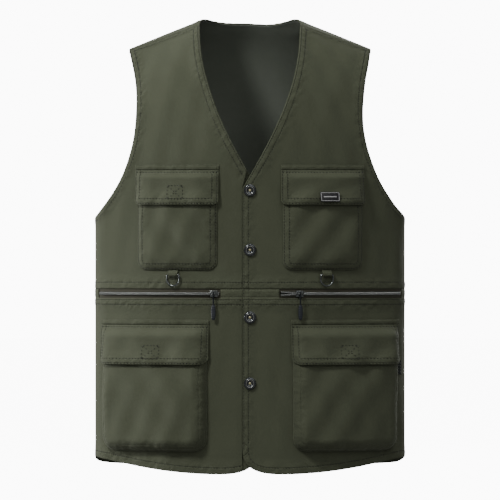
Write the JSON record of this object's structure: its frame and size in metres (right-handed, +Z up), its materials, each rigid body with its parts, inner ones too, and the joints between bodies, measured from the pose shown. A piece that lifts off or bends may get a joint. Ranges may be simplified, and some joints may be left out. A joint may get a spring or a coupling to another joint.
{
  "type": "fishing vest",
  "caption": "Sleeveless fishing vest with flap pockets, zipped waist pockets, hanging D-rings and a snap-fastened overlapping front.",
  "frame": {"origin": "the point the vest hangs from, on the centre line in the side-seam plane, level with the high points of the shoulders at the neck", "axes": "+X to the wearer's left, -Y out of the front, +Z up towards the shoulders"},
  "size_m": [0.436, 0.2338, 0.6384],
  "materials": {
    "shell_cloth": "matt olive green cotton twill",
    "lining_cloth": "thin dark green-grey lining",
    "hook_tape": "matt olive hook and loop tape",
    "zip_tape": "woven brown-olive zip tape",
    "gunmetal": "polished dark gunmetal plating",
    "puller_plastic": "satin dark navy-black soft plastic and cord",
    "badge_rubber": "moulded black rubber with a raised grey frame",
    "label_tape": "woven dark label"
  },
  "bodies": {
    "garment": {"right_front_upper": "shell_cloth", "right_front_lower": "shell_cloth", "right_front_lining": "lining_cloth", "right_button_stand": "shell_cloth", "back_panel": "shell_cloth", "back_lining": "lining_cloth", "back_neck_facing": "shell_cloth", "right_chest_pocket": "shell_cloth", "right_chest_flap_seam": "shell_cloth", "right_chest_loop": "hook_tape", "right_cargo_pocket": "shell_cloth", "right_cargo_flap_seam": "shell_cloth", "right_cargo_loop": "hook_tape", "right_zip_tape": "zip_tape", "right_zip_coil": "gunmetal", "right_zip_bag": "lining_cloth", "right_d_ring_loop": "shell_cloth", "snap_stud_1": "gunmetal", "snap_stud_2": "gunmetal", "snap_stud_3": "gunmetal", "snap_stud_4": "gunmetal"},
    "left_front": {"left_front_upper": "shell_cloth", "left_front_lower": "shell_cloth", "left_front_lining": "lining_cloth", "left_front_facing": "shell_cloth", "left_chest_pocket": "shell_cloth", "left_chest_flap_seam": "shell_cloth", "left_chest_loop": "hook_tape", "left_cargo_pocket": "shell_cloth", "left_cargo_flap_seam": "shell_cloth", "left_cargo_loop": "hook_tape", "left_zip_tape": "zip_tape", "left_zip_coil": "gunmetal", "left_zip_bag": "lining_cloth", "left_d_ring_loop": "shell_cloth", "side_label": "label_tape", "snap_cap_1": "gunmetal", "snap_cap_2": "gunmetal", "snap_cap_3": "gunmetal", "snap_cap_4": "gunmetal", "snap_socket_1": "gunmetal", "snap_socket_2": "gunmetal", "snap_socket_3": "gunmetal", "snap_socket_4": "gunmetal"},
    "right_chest_flap": {"right_chest_flap": "shell_cloth", "right_chest_hook": "hook_tape"},
    "right_cargo_flap": {"right_cargo_flap": "shell_cloth", "right_cargo_hook": "hook_tape"},
    "right_zip_slider": {"right_zip_slider": "gunmetal"},
    "right_zip_puller": {"right_zip_puller": "puller_plastic"},
    "right_d_ring": {"right_d_ring": "gunmetal"},
    "left_chest_flap": {"left_chest_flap": "shell_cloth", "left_chest_hook": "hook_tape", "badge": "badge_rubber"},
    "left_cargo_flap": {"left_cargo_flap": "shell_cloth", "left_cargo_hook": "hook_tape"},
    "left_zip_slider": {"left_zip_slider": "gunmetal"},
    "left_zip_puller": {"left_zip_puller": "puller_plastic"},
    "left_d_ring": {"left_d_ring": "gunmetal"}
  },
  "joints": [
    {"name": "front_opening", "type": "hinge", "parent": "garment", "child": "left_front", "pos_m": [0.218, 0, -0.32], "axis": [0, 0, 1], "range_deg": [0, 40]},
    {"name": "right_chest_flap_hinge", "type": "hinge", "parent": "garment", "child": "right_chest_flap", "pos_m": [-0.10192, -0.09765, -0.211], "axis": [-0.9449, 0.3273, 0], "range_deg": [0, 135]},
    {"name": "right_cargo_flap_hinge", "type": "hinge", "parent": "garment", "child": "right_cargo_flap", "pos_m": [-0.1332, -0.08488, -0.427], "axis": [-0.9039, 0.4277, 0], "range_deg": [0, 135]},
    {"name": "right_zip", "type": "hinge", "parent": "garment", "child": "right_zip_slider", "pos_m": [0, 0.19661, -0.384], "axis": [0, 0, -1], "range_deg": [0, 27.5]},
    {"name": "right_puller", "type": "hinge", "parent": "right_zip_slider", "child": "right_zip_puller", "pos_m": [-0.051, -0.11399, -0.384], "axis": [-0.9868, 0.162, 0], "range_deg": [0, 110]},
    {"name": "right_d_ring_swing", "type": "hinge", "parent": "garment", "child": "right_d_ring", "pos_m": [-0.10737, -0.09698, -0.3575], "axis": [-0.9392, 0.3435, 0], "range_deg": [0, 140]},
    {"name": "left_chest_flap_hinge", "type": "hinge", "parent": "left_front", "child": "left_chest_flap", "pos_m": [0.10192, -0.09765, -0.211], "axis": [-0.9449, -0.3273, 0], "range_deg": [0, 135]},
    {"name": "left_cargo_flap_hinge", "type": "hinge", "parent": "left_front", "child": "left_cargo_flap", "pos_m": [0.1332, -0.08488, -0.427], "axis": [-0.9039, -0.4277, 0], "range_deg": [0, 135]},
    {"name": "left_zip", "type": "hinge", "parent": "left_front", "child": "left_zip_slider", "pos_m": [0, 0.19661, -0.384], "axis": [0, 0, 1], "range_deg": [-3.6, 24]},
    {"name": "left_puller", "type": "hinge", "parent": "left_zip_slider", "child": "left_zip_puller", "pos_m": [0.07037, -0.11018, -0.384], "axis": [-0.9747, -0.2236, 0], "range_deg": [0, 110]},
    {"name": "left_d_ring_swing", "type": "hinge", "parent": "left_front", "child": "left_d_ring", "pos_m": [0.10737, -0.09698, -0.3575], "axis": [-0.9392, -0.3435, 0], "range_deg": [0, 140]}
  ]
}
